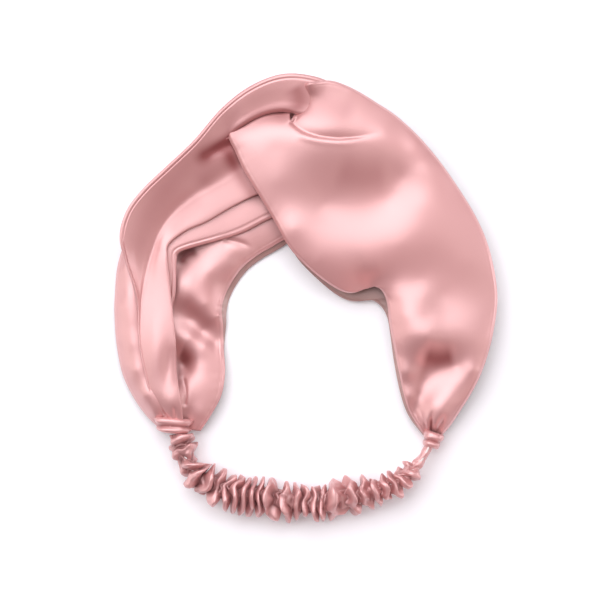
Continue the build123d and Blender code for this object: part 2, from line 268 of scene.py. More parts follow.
# The sheet's shape: its edges, then its ridges and valleys from the knot down to the gathers.
RIGHT_FOLDS = [
    (-1.5, 101, 20.0), (5, 102, 19.6), (12, 102.2, 19.0), (21.5, 98.8, 17.8),
    (32.5, 92.6, 15.2), (44.3, 84.6, 13.8), (58.5, 70.4, 12.4), (71.8, 52.4, 11.8),
    (80.5, 38, 11.6), (86, 25, 11.4), (89.5, 10, 11.2), (90.4, -2, 11.0), (88.6, -14.5, 12.0),
    (86.3, -24.5, 12.2), (83, -34.5, 11.8), (78.5, -44, 11.2), (72.5, -54, 9.2),
    (67.5, -61.5, 7.6), (63, -66.6, 6.0), (59.8, -66, 6.4), (-28, 97, 8.5), (-6, 97, 8.5),
    (-36.5, 86, 11.2), (-20, 93, 10.5), (-7.5, 90, 12.5), (-37, 77, 15.4), (-33.6, 69.4, 15.0),
    (-29.2, 60, 14.8), (-21.1, 46.7, 14.4), (-14.9, 36.3, 14.0), (-7.8, 23.9, 14.2),
    (0.5, 15, 13.6), (8.3, 8.5, 12.6), (16.5, 3.6, 11.4), (22.5, 2.9, 10.6), (29.3, 5.9, 9.8),
    (35, 4.6, 10.2), (38.2, -1.5, 9.4), (39.6, -12.6, 9.2), (42.4, -27, 8.6), (45, -40, 7.6),
    (48.2, -52, 6.8), (53, -60.5, 6.2), (56.8, -66, 6.0),
    # the swell out of the knot and the ridge under the crease
    (-28, 78, 16.2), (-20, 82, 16.8), (-12, 81, 18.2), (-22, 68, 17.6), (-14, 70, 18.8),
    (-6, 77, 19.8), (1, 74.2, 20.8), (10, 72.6, 21.2), (19, 72.2, 21.0), (28, 73.2, 20.2),
    (37, 75, 18.8), (-14, 56, 17.6), (-6, 62, 18.8), (-4, 70, 20.0),
    # the basin
    (0, 49, 16.0), (8, 44.5, 14.2), (18, 42, 13.9), (30, 42, 13.6), (40, 47, 13.4),
    (44.5, 57, 14.6), (10, 59, 17.8), (22, 59, 17.2), (33, 61, 16.8), (38, 68, 18.0),
    (44, 70, 17.0),
    # the crest that runs round it
    (-7, 33, 16.6), (3, 27, 16.8), (16, 24, 16.6), (30, 22, 16.0), (44, 26, 16.6),
    (53, 44, 16.6), (55.5, 60, 16.0), (52, 71, 15.6), (64, 50, 15.0), (62, 62, 14.0),
    # the fall from it to the notch, and the valley that runs out to the edge
    (5, 18, 15.8), (18, 13, 15.0), (31, 13.5, 14.0), (34, 9.5, 11.8), (42, 9, 12.8),
    (53, 9, 13.6), (65, 7, 13.6), (77, 4, 13.0), (86, 2, 11.8), (58, 25, 16.2), (70, 27, 15.2),
    (78, 18, 14.0),
    # the bright crest over the pocket
    (43, 1, 12.6), (46, -8, 14.6), (48.5, -17, 15.4), (55, 1, 14.8), (56.5, -9, 16.0),
    (57, -18, 17.4), (64, 1, 13.4), (65, -9, 15.0), (68, -19, 15.8), (77, -5, 13.4),
    (80, -20, 14.6),
    # the pocket, the arc under it and the valley beside it
    (63, -32, 9.6), (55.5, -32, 9.4), (71, -31.5, 11.2), (55, -39, 8.0), (53.4, -46, 7.6),
    (52.5, -52, 7.0), (79, -34, 13.8), (70.5, -40, 12.6), (64, -44.5, 12.4), (59.5, -50, 12.2),
    (58, -55, 11.2), (47, -23, 12.8), (48, -35, 10.6), (49.5, -46, 8.6), (75, -44, 12.2),
    (69, -49, 13.2), (65, -54, 13.4), (61, -59, 11.6), (56, -59, 9.6),
]


def right_front(rows, columns, drop=0.0):
    """Two grids that meet at the crease: the part inside it, and the lobe outside it."""
    quarter = np.linspace(0, math.pi / 2, columns // 2)
    hidden = 2  # stations that lie under the left ribbon
    out = []
    for inner in (True, False):
        t = np.linspace(hidden, len(RIGHT_FRONT) - 1, rows)
        if inner:
            t = np.concatenate([np.linspace(0, hidden, rows // 9)[:-1], t])
        plan = catmull(RIGHT_FRONT, t)
        v = 1 - np.cos(quarter) if inner else np.sin(quarter)
        a, b = (plan[:, 0], plan[:, 1]) if inner else (plan[:, 1], plan[:, 2])
        flat = a[:, None] * (1 - v)[None, :, None] + b[:, None] * v[None, :, None]
        x, y = flat[..., 0], flat[..., 1]
        z = surface(RIGHT_FOLDS, x, y)
        if not inner:
            # The free end of the lobe is rolled and hollow.
            start = np.hypot(x - x[:1], y - y[:1]) / 7.0
            roll = 2.6 * np.exp(-((start / 0.28) ** 2)) - 0.8 * np.exp(-(start**2))
            z = z - roll * smooth(v, 0.02, 0.3)[None]
            x = x + 2.2 * np.exp(-((start / 0.8) ** 2)) * np.sin(math.pi * v)[None] ** 2
        z = z - 1.8 * stroke(x, y, CREASE, 3.2, 1.1, 1.2, (0.02, 0.5))
        z = z + 0.5 * stroke(x, y, CREASE_ROLL, 1.2, 1.6, 2, (0.1, 0.4))
        for line, deep in RIGHT_PLEATS:
            z = z - deep * stroke(x, y, line, 0.9, 1.1, 1.5, (0.6, 0))
        z = z + 0.35 * ripple(x, y, 20.0, 3, 1.6, -35)
        near = finish_edges(x, y, np.zeros(x.shape), seed=5, hem=0.35)
        keep = smooth(v, 0, 1)[None]
        z = z + near * ((1 - keep) if inner else keep)
        out.append(np.stack([x, y, z - drop], axis=-1))
    return out


# ---------------------------------------------------------------- right ribbon, arm behind

# The inner and the outer edge, from the knot to the gathered end.
RIGHT_BACK = [
    ((-17, 84), (-8, 93)),
    ((-17, 66), (12, 94)),
    ((-13, 44), (34, 84)),
    ((-8, 27), (52, 68)),
    ((-3.0, 17.7), (66, 52)),
    ((9.6, 5.6), (77, 34)),
    ((18, 0.0), (82, 20)),
    ((24, -1.2), (85, 8)),
    ((30, -0.2), (85.5, -4)),
    ((35.2, -3.0), (84.5, -12)),
    ((38.6, -8.5), (83, -20)),
    ((40.2, -17), (80, -30)),
    ((42.0, -30), (76, -41)),
    ((45.0, -45), (71, -51)),
    ((49.0, -56), (66, -60)),
    ((56.5, -66), (63, -66.5)),
]


def between(lines, rows, columns):
    """x and y over a ribbon arm, and the number of the station that each row is at."""
    t = np.linspace(0, len(lines) - 1, rows)
    plan = catmull(lines, t)
    v = edge_rows(columns)
    flat = plan[:, :1] * (1 - v)[None, :, None] + plan[:, 1:] * v[None, :, None]
    return flat[..., 0], flat[..., 1], t


def right_back(rows, columns, drop=0.0):
    x, y, t = between(RIGHT_BACK, rows, columns)
    v = edge_rows(columns)[None]
    level = np.interp(t, (0, 12, 15), (2.8, 3.0, 4.6))[:, None]  # rises to the gathers
    z = level + 0.9 * np.sin(math.pi * v) ** 0.7 + 0.4 * ripple(x, y, 18.0, 11)
    z = finish_edges(x, y, z, 0.8, seed=15)
    return np.stack([x, y, z - drop], axis=-1)


# ---------------------------------------------------------------- left ribbon, arm in front

# Each row is one station from the knot to the gathered end: the outer hem, the line that the
# ribbon parts along to go over and under the right one, the bottom of the trough, the folded
# edge and the inner hem.
LEFT_FRONT = [
    ((17.0, 99.0), (15.0, 90.5), (6.0, 80.0), (10.0, 66.0), (13.0, 54.0)),
    ((4.0, 104.2), (1.0, 86.0), (-4.0, 77.0), (0.0, 60.5), (4.0, 48.5)),
    ((-11.0, 105.3), (-12.0, 88.0), (-14.0, 71.5), (-10.0, 55.5), (-6.0, 43.5)),
    ((-26.0, 99.8), (-23.6, 85.0), (-24.0, 66.0), (-18.0, 51.3), (-13.0, 40.0)),
    ((-39.6, 89.5), (-36.6, 76.6), (-33.0, 60.8), (-26.0, 48.4), (-20.0, 36.8)),
    ((-53.0, 74.3), (-48.0, 66.5), (-43.0, 54.6), (-36.0, 43.4), (-30.2, 31.5)),
    ((-66.5, 61.5), (-60.0, 55.0), (-54.5, 48.0), (-47.2, 36.8), (-42.0, 27.6)),
    ((-77.0, 51.5), (-70.0, 46.0), (-63.5, 40.0), (-57.4, 32.2), (-52.6, 24.8)),
    ((-84.5, 41.5), (-76.5, 37.0), (-69.0, 32.0), (-65.3, 25.8), (-60.4, 22.0)),
    ((-87.8, 30.0), (-80.0, 26.0), (-72.5, 23.0), (-66.0, 20.0), (-61.8, 17.6)),
    ((-86.0, 19.0), (-80.5, 16.0), (-75.5, 13.0), (-65.2, 11.0), (-61.9, 9.2)),
    ((-81.5, 5.0), (-79.4, 4.2), (-77.5, 3.5), (-64.3, 2.0), (-62.4, 1.6)),
    ((-79.6, -6.0), (-79.1, -6.2), (-78.6, -6.5), (-63.2, -7.0), (-64.2, -7.0)),
    ((-79.2, -20.0), (-78.8, -20.2), (-78.4, -20.5), (-61.9, -21.0), (-64.0, -21.0)),
    ((-76.8, -33.5), (-76.4, -33.8), (-76.0, -34.0), (-61.4, -34.0), (-64.0, -34.0)),
    ((-74.0, -44.5), (-73.6, -44.6), (-73.2, -44.8), (-60.2, -44.5), (-63.5, -44.5)),
    ((-69.2, -52.0), (-68.9, -52.2), (-68.6, -52.4), (-59.2, -50.8), (-62.0, -51.0)),
    ((-66.5, -58.5), (-66.2, -58.5), (-65.9, -58.5), (-58.6, -57.5), (-60.5, -57.8)),
]
# Heights of the hem, the parting line, the trough, the fold's crest and the inner hem.
LEFT_FRONT_HEIGHTS = [
    (17.0, 13.2, 8.4, 8.9, 6.6),
    (18.4, 13.6, 8.6, 9.2, 6.8),
    (19.4, 13.8, 10.4, 9.8, 7.0),
    (19.6, 14.0, 10.8, 10.4, 7.4),
    (19.2, 14.6, 11.2, 11.0, 8.0),
    (18.8, 14.9, 11.4, 11.4, 8.6),
    (18.6, 15.0, 11.4, 11.8, 9.2),
    (18.6, 14.9, 11.2, 12.4, 9.8),
    (18.8, 14.7, 11.0, 13.2, 10.4),
    (18.6, 14.3, 10.8, 13.8, 10.6),
    (17.4, 13.2, 10.6, 14.0, 10.8),
    (15.6, 13.0, 11.2, 14.2, 10.6),
    (13.8, 12.6, 11.8, 14.4, 10.2),
    (13.4, 12.4, 12.0, 14.6, 10.0),
    (13.4, 12.4, 12.0, 14.8, 9.8),
    (13.4, 12.4, 12.0, 14.9, 9.4),
    (12.6, 11.8, 11.4, 14.2, 8.4),
    (11.0, 10.6, 10.4, 11.8, 7.0),
]
PARTING = 3  # the control point that the parting line is
PARTING_LIFT = 2.4  # how far the two parts go apart there, one up and one down
# The crease where the satin tucks in under the right ribbon.
TUCK = [(-30, 75), (-37, 72.5), (-44, 69.5), (-51, 65)]
# The pleats that run into the gathers: a line, how deep and how wide.
LEFT_PLEATS = [
    ([(-70, -50), (-67.5, -54), (-65, -58)], 0.9, 0.9),
    ([(-62.6, -50), (-62.0, -54), (-62, -58)], 0.8, 0.8),
]


def left_front_sections(lift):
    """Control points across each station, outer hem to inner, with the parting line lifted."""
    sections = []
    for station, (places, heights) in enumerate(zip(LEFT_FRONT, LEFT_FRONT_HEIGHTS)):
        hem, part, trough, fold, inner = np.array(places)
        hem_z, part_z, trough_z, crest_z, inner_z = heights
        part_z = part_z + lift
        # 0 where the ribbon lies over the right one and sags, 1 in the cup beside it
        cup = smooth(station, 3.6, 6.0)
        over_a, cup_a = 0.72 * hem_z + 0.28 * part_z - 0.2, 0.64 * hem_z + 0.36 * part_z
        over_b, cup_b = 0.34 * hem_z + 0.66 * part_z - 0.5, 0.30 * hem_z + 0.70 * part_z
        back = (trough - fold) / np.linalg.norm(trough - fold)
        tuck = min(2.0, 0.18 * np.linalg.norm(trough - fold))
        sections.append(
            [
                (*hem, hem_z),
                (*(hem + 0.34 * (part - hem)), (1 - cup) * over_a + cup * cup_a),
                (*(hem + 0.70 * (part - hem)), (1 - cup) * over_b + cup * cup_b),
                (*part, part_z),
                (*(0.5 * (part + trough)), 0.5 * (part_z + trough_z)),
                (*(trough + 0.10 * (part - trough)), trough_z + 0.05 * abs(part_z - trough_z)),
                (*(trough + 0.18 * (fold - trough)), trough_z + 0.30 * (crest_z - trough_z)),
                (*(trough + 0.50 * (fold - trough)), trough_z + 0.72 * (crest_z - trough_z)),
                (*(trough + 0.88 * (fold - trough)), crest_z),
                (*fold, crest_z - 0.35),
                (*(fold + back * tuck), 0.5 * (crest_z + inner_z) - 0.3),
                (*(fold + 0.5 * back * tuck), inner_z + 0.3),
                (*(0.45 * fold + 0.55 * inner), inner_z + 0.25),
                (*inner, inner_z),
            ]
        )
    return np.array(sections)


def left_front(rows, columns, drop=0.0):
    """Two grids: hem to parting line, and parting line to inner hem."""
    t = np.linspace(0, len(LEFT_FRONT) - 1, rows)
    joined = catmull(left_front_sections(0.0), t)
    last = joined.shape[1] - 1
    third = columns // 3
    out = []
    for over in (True, False):
        # Near the knot the outer part goes over the right ribbon and the inner part under it.
        parted = catmull(left_front_sections(PARTING_LIFT if over else -PARTING_LIFT), t)
        sections = joined + (1 - smooth(t, 3.4, 4.1))[:, None, None] * (parted - joined)
        if over:
            v = np.linspace(0, PARTING, third)
        else:
            v = np.linspace(PARTING, last, columns - third)
        grid = np.stack([catmull(section, v) for section in sections])
        x, y, z = grid[..., 0], grid[..., 1], grid[..., 2]
        station = np.repeat(t[:, None], len(v), 1)
        cup = smooth(station, 4, 6.5)
        z = z + 0.45 * ripple(x, y, 13.0, 21, 2.4, 45) * cup
        z = z - 1.2 * smooth(station, 3.6, 4.2) * stroke(x, y, TUCK, 2.6, 2.2, 2, (0.05, 0.5))
        if not over:
            z = z + 1.0 * bell(x, y, (-71, -24), (4.5, 14), -4)
            z = z - 1.2 * bell(x, y, (-65.0, -32), (2.8, 9), -3)
            z = z + 0.6 * bell(x, y, (-64, -49), (3.5, 5))
            for line, deep, wide in LEFT_PLEATS:
                z = z - deep * stroke(x, y, line, wide, wide, 1.5, (0.4, 0))
        from_start = width_from_start(grid)
        from_end = from_start[:, -1:] - from_start
        distance = from_start if over else from_end
        z = z - 0.9 * np.exp(-((distance / 0.7) ** 2))
        z = z - 0.4 * np.exp(-(((distance - SEAM_INSET) / SEAM_SPREAD) ** 2))
        if over:
            free = 1 - smooth(station, 3.5, 4.0)
            z = z - 1.0 * free * np.exp(-((from_end / 0.7) ** 2))
        out.append(np.stack([x, y, z - drop], axis=-1))
    return out


# ---------------------------------------------------------------- left ribbon, arm behind

# The inner and the outer edge, from the knot to the gathered end.
LEFT_BACK = [
    ((14, 50), (2, 98)),
    ((5, 37), (-12, 92)),
    ((-8.5, 29.4), (-28, 83)),
    ((-16.4, 24.8), (-44, 72)),
    ((-23.5, 20.6), (-60, 59)),
    ((-30.4, 15.0), (-74, 45)),
    ((-35.6, 8.0), (-84, 32)),
    ((-39.3, 0.5), (-89.5, 18)),
    ((-40.6, -6), (-91.3, 2)),
    ((-39.8, -13), (-91.4, -11)),
    ((-39.6, -24), (-90.2, -24)),
    ((-38.9, -35), (-87.5, -36.5)),
    ((-40.6, -46), (-82.5, -47)),
    ((-45.2, -55), (-77, -55)),
    ((-50.4, -63), (-70.5, -61.5)),
]
# The sheet's shape: its edges, then its ridges and hollows.
LEFT_BACK_FOLDS = [
    (14, 50, 4.4), (5, 37, 4.2), (-8.5, 29.4, 4.0), (-16.4, 24.8, 4.0), (-23.5, 20.6, 4.0),
    (-30.4, 15, 3.8), (-35.6, 8, 3.4), (-39.3, 0.5, 3.4), (-40.6, -6, 4.6), (-39.8, -13, 4.2),
    (-39.6, -24, 3.8), (-38.9, -35, 5.4), (-40.6, -46, 6.6), (-45.2, -55, 6.6),
    (-50.4, -63, 5.4), (2, 98, 4.6), (-28, 83, 4.6), (-60, 59, 4.6), (-84, 32, 4.6),
    (-89.5, 18, 4.2), (-91.3, 2, 4.2), (-91.4, -11, 4.2), (-90.2, -24, 4.2),
    (-87.5, -36.5, 4.2), (-82.5, -47, 4.2), (-77, -55, 4.4), (-70.5, -61.5, 4.6),
    (-60, -62, 5.0),
    # under the arm in front
    (0, 70, 4.8), (-30, 50, 4.8), (-55, 38, 4.8), (-70, 28, 5.0), (-72, 8, 6.0),
    (-70, -12, 6.4), (-68, -34, 6.2),
    # the outer side, rising to the front arm's hem
    (-86.5, 16, 8.0), (-84.5, 2, 10.0), (-83.5, -10, 10.6), (-82.5, -22, 10.8),
    (-80.5, -34, 11.2), (-77, -46, 11.2), (-88.5, -4, 8.0), (-87.0, -18, 8.4),
    (-84.5, -32, 8.6), (-72.5, -54, 10.2),
    # the inner side: two ridges with a hollow between them
    (-20, 30, 5.2), (-32, 22, 6.4), (-44, 19, 6.6), (-54, 13.5, 5.4), (-36, 16, 6.4),
    (-46, 13, 7.0), (-59, 20, 2.0), (-54, 22, 2.8), (-60.5, 15.5, 2.8), (-48, 23, 5.0),
    (-41, 7, 4.4), (-60, 8, 6.4), (-54, 3.5, 7.5), (-48, -2.5, 7.8), (-43, -8.5, 6.6),
    (-61, -6, 4.2), (-56, -10, 3.5), (-50, -15.5, 3.4), (-44, -21, 3.4), (-61, -15, 6.4),
    (-55.5, -18.5, 7.0), (-48, -23, 6.4), (-42, -27, 5.0), (-58.5, -31.5, 2.8), (-62, -27, 4.0),
    (-53, -27, 6.2), (-51, -33, 6.8), (-53.5, -38.5, 7.2), (-59, -41, 7.2), (-45, -35, 6.8),
    (-46, -44, 7.6), (-53, -48, 7.8), (-50, -54, 7.6), (-57, -54, 7.0), (-53, -61, 5.6),
]


def left_back(rows, columns, drop=0.0, wider=0.0):
    """The arm behind. wider lets its inner edge show past the arm's other ply."""
    t = np.linspace(0, len(LEFT_BACK) - 1, rows)
    plan = catmull(LEFT_BACK, t)
    inner, outer = plan[:, 0], plan[:, 1]
    across = (inner - outer) / np.linalg.norm(inner - outer, axis=1)[:, None]
    more = wider * smooth(t, 1, 2.5) * (1 - smooth(t, 7.5, 10.5))
    inner = inner + across * more[:, None]
    v = edge_rows(columns)
    flat = inner[:, None] * (1 - v)[None, :, None] + outer[:, None] * v[None, :, None]
    x, y = flat[..., 0], flat[..., 1]
    z = surface(LEFT_BACK_FOLDS, x, y)
    z = z - 1.2 * stroke(x, y, [(-40, 28.2), (-32, 26.8), (-25, 23.6)], 1.2, 2.2, 1.6, (0.15, 0.5))
    z = z - 0.9 * stroke(x, y, [(-59, -37), (-57.5, -44), (-58, -52)], 1.0, 1.6, 1.5)
    z = z + 0.15 * ripple(x, y, 14.0, 31, 1.8, -60)
    z = finish_edges(x, y, z, 0.8, seed=35, hem=0.5)
    for place in ((-40.6, -2.5), (-41.2, -8)):
        z = z + 0.5 * bell(x, y, place, (1.6, 1.0), 20)
    return np.stack([x, y, z - drop], axis=-1)


# ---------------------------------------------------------------- turns at the knot

# The line where each ribbon's front arm ends, the line where its back arm starts, and how far the
# turn between them bulges.
RIGHT_TURN = (
    [(-25, 95, 9.0), (-18, 96, 10.2), (-11, 97, 10.2), (-5, 96, 9.4)],
    [(-18, 83, 3.4), (-14, 86, 3.6), (-11, 89, 3.6), (-7, 93, 3.4)],
    (-1.0, 3.2, 0.0),
)
LEFT_TURN = (
    [(12, 97, 15.0), (13, 88, 12.0), (12, 76, 9.4), (11, 62, 8.4)],
    [(3, 96, 4.8), (6, 82, 4.8), (10, 66, 4.6), (13, 53, 4.5)],
    (4.5, 1.2, 0.0),
)


def turn(lines, rows, columns):
    """The sheet that carries a ribbon round from its front arm to its back arm, softly pleated."""
    start, end, bulge = lines
    v = np.linspace(0, 1, columns)
    first, last = catmull(start, 3 * v)[None], catmull(end, 3 * v)[None]
    angle = np.linspace(0, math.pi, rows)[:, None, None]
    share = 0.5 - 0.5 * np.cos(angle)
    swell = (1 + 0.22 * np.sin(5 * math.pi * v))[None, :, None]
    return first * (1 - share) + last * share + np.sin(angle) * swell * np.array(bulge)


# ---------------------------------------------------------------- elastic casing and end tabs

CASING_LINE = [
    (-61.2, -64.0), (-58.4, -72.5), (-54.6, -80.5), (-48.1, -87.5), (-33.9, -92.4),
    (-19.7, -94.8), (-3.1, -96.7), (13.5, -95.8), (30.1, -92.0), (44.3, -86.0), (52.7, -79.0),
    (57.4, -71.5), (59.6, -66.5),
]
# How wide the gathers stand, as (place from the left tab in mm, share of the full width).
CASING_WIDTH = [
    (0, 0.62), (4, 0.95), (8, 1.0), (12.5, 0.72), (17, 0.70), (22, 0.98), (28, 1.06), (40, 1.0),
    (60, 1.04), (76, 0.96), (90, 1.06), (108, 0.98), (120, 0.88), (128, 0.78), (132, 0.62),
    (136, 0.40), (143, 0.36), (149, 0.5),
]


# Where the cloth lies calm: the place, how much longer its folds are, and how far that reaches, mm.
CASING_CALM = [(92, 5.0, 5.0), (104, 2.6, 3.5), (8, 3.2, 5.0), (129, 2.0, 3.5)]
CASING_FLAT = (131, 136)  # from here to the right tab the casing is drawn flat


def casing(rows, columns):
    """The gathered tube over the elastic, and the painted shade in its folds."""
    line = catmull(CASING_LINE, np.linspace(0, len(CASING_LINE) - 1, 600))
    length = run_length(*line.T)
    u = np.linspace(0, length[-1], rows)
    x, y = np.interp(u, length, line[:, 0]), np.interp(u, length, line[:, 1])
    tangent = np.stack([np.gradient(x, u), np.gradient(y, u)], axis=1)
    tangent /= np.linalg.norm(tangent, axis=1)[:, None]
    angle = np.linspace(0, 2 * math.pi, columns, endpoint=False)
    share = np.interp(u, *np.array(CASING_WIDTH).T)
    for _ in range(3):
        share = np.convolve(np.pad(share, 6, "edge"), np.ones(13) / 13, "valid")
    # A fold every 4 to 5 mm, with a few stretches where the cloth lies wide and calm.
    pitch = 5.2 + 3.0 * noise_at(u / 9.0, 4.2, 0.7)
    for place, more, reach in CASING_CALM:
        pitch = pitch + more * np.exp(-(((u - place) / reach) ** 2))
    count = np.concatenate([[0], np.cumsum(np.diff(u) / pitch[1:])])
    a, uu = np.meshgrid(angle, u)
    ca, sa = np.cos(a), np.sin(a)

    def grain(scale, reach, seed):
        return noise_at(uu / scale, reach * ca, reach * sa + seed)

    warp = 1.6 * grain(13.0, 0.9, 3.3) + 0.8 * grain(7.0, 1.3, 8.1)
    phase = 2 * math.pi * count[:, None] + 2.4 * warp + 0.7 * sa
    phase = phase + 1.3 * (1 - smooth(uu, 10, 24)) * a  # the first folds wind round the casing
    ridge = np.clip(1.2 * (0.5 + 0.5 * np.cos(phase)) ** 1.8, 0, 1)
    ridge = ridge * (1.5 - 0.5 * ridge**2)
    minor = (0.5 + 0.5 * np.cos(2 * phase + 4.0 * grain(7.0, 1.4, 5.9))) ** 1.6
    lively = np.clip(0.84 + 1.0 * grain(6.0, 0.8, 12.5), 0.35, 1.2)
    calm = np.exp(-(((uu - 92) / 4.5) ** 2))
    height = ridge**0.85 * lively + 0.24 * minor * np.clip(1 - ridge, 0, 1) + 0.25 * calm
    flat = smooth(uu, *CASING_FLAT)
    height = height * (1 - 0.9 * flat) + 0.42 * flat
    half_wide, half_high, middle = 8.9, 7.5, 7.8
    valley = 0.38  # how far out the valleys lie, as a share of the ridges
    grow = valley + (1 - valley) * height
    lean = 1.5 * ridge * (1 - flat) * grain(8.0, 0.8, 21.0) + 0.3 * minor * grain(6.0, 1.2, 2.2)
    across = half_wide * np.sign(ca) * np.abs(ca) ** 0.9 * grow * share[:, None]
    across = across + 1.4 * grain(11.0, 0.3, 31.0)
    up = half_high * np.sign(sa) * np.abs(sa) ** 0.9 * grow * (0.25 + 0.75 * share[:, None])
    side = np.stack([-tangent[:, 1], tangent[:, 0]], axis=1)
    px = x[:, None] + side[:, :1] * across + tangent[:, :1] * lean
    py = y[:, None] + side[:, 1:] * across + tangent[:, 1:] * lean
    pz = middle + up + 0.3 * grain(5.0, 1.0, 40.0)
    pz = np.maximum(pz, CLEARANCE + 0.25 * (grain(4.0, 1.0, 50.0) + 1))
    # painted shade: darker down in the valleys between the gathers
    deep = 0.95 * np.clip(1 - 1.25 * height, 0, 1) ** 1.6
    deep = deep * (1 - flat) * (1 - 0.5 * smooth(uu, 90, 112))
    return np.stack([px, py, pz], axis=-1), deep


def elastic():
    """The flat ribbon that stands on edge inside the casing."""
    line = catmull(CASING_LINE, np.linspace(0.25, len(CASING_LINE) - 1.25, 240))
    high = np.linspace(4.9, 10.7, 12)
    x, z = np.meshgrid(line[:, 0], high, indexing="ij")
    y = np.broadcast_to(line[:, 1:], x.shape)
    return np.stack([x, y, z], axis=-1)


# Each wrap's centre, heading, width, length, height, number of folds and seed.
TABS = {
    "left": ((-63.4, -60.2), -96.0, 16.8, 6.8, 12.8, 1.0, 3),
    "right": ((60.0, -67.2), -108.0, 8.6, 7.2, 11.8, 1.4, 9),
}


def end_tab(centre, heading, wide, long, high, folds, seed, rows=56, columns=96):
    """A strip of satin wrapped round a gathered end, with folds across it and painted shade in
    them.
    """
    s = np.linspace(-1, 1, rows)
    angle = np.linspace(0, 2 * math.pi, columns, endpoint=False)
    a, ss = np.meshgrid(angle, s)
    ca, sa = np.cos(a), np.sin(a)
    rim = np.sqrt(np.clip(1 - np.abs(ss) ** 7, 0, 1))  # both ends turn in
    wave = noise_at(ss * 1.3, 1.1 * ca, 1.1 * sa + seed)
    crease = 0.5 - 0.5 * np.cos(math.pi * folds * (ss - 0.1 + 0.22 * wave + 0.12 * ca))
    body = 0.90 + 0.10 * rim - 0.16 * (1 - crease) ** 4.0 + 0.05 * wave
    ends = 0.62 + 0.38 * rim
    across = wide / 2 * np.sign(ca) * np.abs(ca) ** 0.72 * body
    across = across * (0.8 + 0.2 * rim) * (1 - 0.13 * ss)
    up = high / 2 * np.sign(sa) * np.abs(sa) ** 0.80 * body * ends
    along = long / 2 * (ss + 0.10 * wave)
    c, d = math.cos(math.radians(heading)), math.sin(math.radians(heading))
    x = centre[0] + along * c - across * d
    y = centre[1] + along * d + across * c
    z = high / 2 + up
    # painted shade in the creases across the wrap
    deep = np.clip(1 - crease, 0, 1) ** 6 * 0.7
    return np.stack([x, y, z], axis=-1), deep


# ---------------------------------------------------------------- materials


class Socket:
    """A shader socket that Python's operators work on."""

    def __init__(self, tree, link):
        self.tree, self.link = tree, link

    def math(self, operation, *values):
        return self.tree.node("ShaderNodeMath", {"operation": operation}, values)

    def __add__(self, other):
        return self.math("ADD", self, other)

    def __radd__(self, other):
        return self.math("ADD", other, self)

    def __sub__(self, other):
        return self.math("SUBTRACT", self, other)

    def __rsub__(self, other):
        return self.math("SUBTRACT", other, self)

    def __mul__(self, other):
        return self.math("MULTIPLY", self, other)

    def __rmul__(self, other):
        return self.math("MULTIPLY", other, self)


class Shader:
    """A material's node tree."""

    def __init__(self, name):
        self.material = bpy.data.materials.new(name)
        self.material.use_nodes = True
        self.nodes, self.links = self.material.node_tree.nodes, self.material.node_tree.links
        self.surface = self.nodes["Principled BSDF"]

    def node(self, kind, settings=None, values=(), output=0):
        """Any node: its settings first, then its sockets' values or links by place or name."""
        made = self.nodes.new(kind)
        for key, value in (settings or {}).items():
            setattr(made, key, value)
        named = values.items() if isinstance(values, dict) else enumerate(values)
        for key, value in named:
            self.feed(made.inputs[key], value)
        return Socket(self, made.outputs[output])

    def feed(self, socket, value):
        if isinstance(value, Socket):
            self.links.new(value.link, socket)
        elif isinstance(value, tuple) and len(value) == 3 and socket.type == "RGBA":
            socket.default_value = (*value, 1.0)
        else:
            socket.default_value = value

    def mix(self, factor, first, second):
        """Two colours mixed."""
        return self.node(
            "ShaderNodeMix", {"data_type": "RGBA"}, {0: factor, 6: first, 7: second}, 2
        )

    def place(self, kind="Object"):
        return self.node("ShaderNodeTexCoord", {}, (), {"Object": 3, "UV": 2}[kind])

    def scaled(self, place, scale):
        return self.node("ShaderNodeMapping", {}, {"Vector": place, "Scale": scale})

    def noise(self, place, scale, detail=2.0):
        values = {"Vector": place, "Scale": scale, "Detail": detail, "Roughness": 0.5}
        return self.node("ShaderNodeTexNoise", {}, values)

    def wave(self, direction, **values):
        """The height of fine bands that follow each other in a direction."""
        return self.node("ShaderNodeTexWave", {"bands_direction": direction}, values, 1)

    def attribute(self, name):
        """A number that each point of the mesh carries."""
        return self.node("ShaderNodeAttribute", {"attribute_name": name}, (), 2)

    def bump(self, height, strength, distance, under=None):
        values = {"Height": height, "Strength": strength, "Distance": distance}
        if under is not None:
            values["Normal"] = under
        return self.node("ShaderNodeBump", {}, values)

    def set(self, **values):
        """Feeds the surface's sockets by name and gives back the material."""
        for key, value in values.items():
            self.feed(self.surface.inputs[key.replace("_", " ")], value)
        return self.material


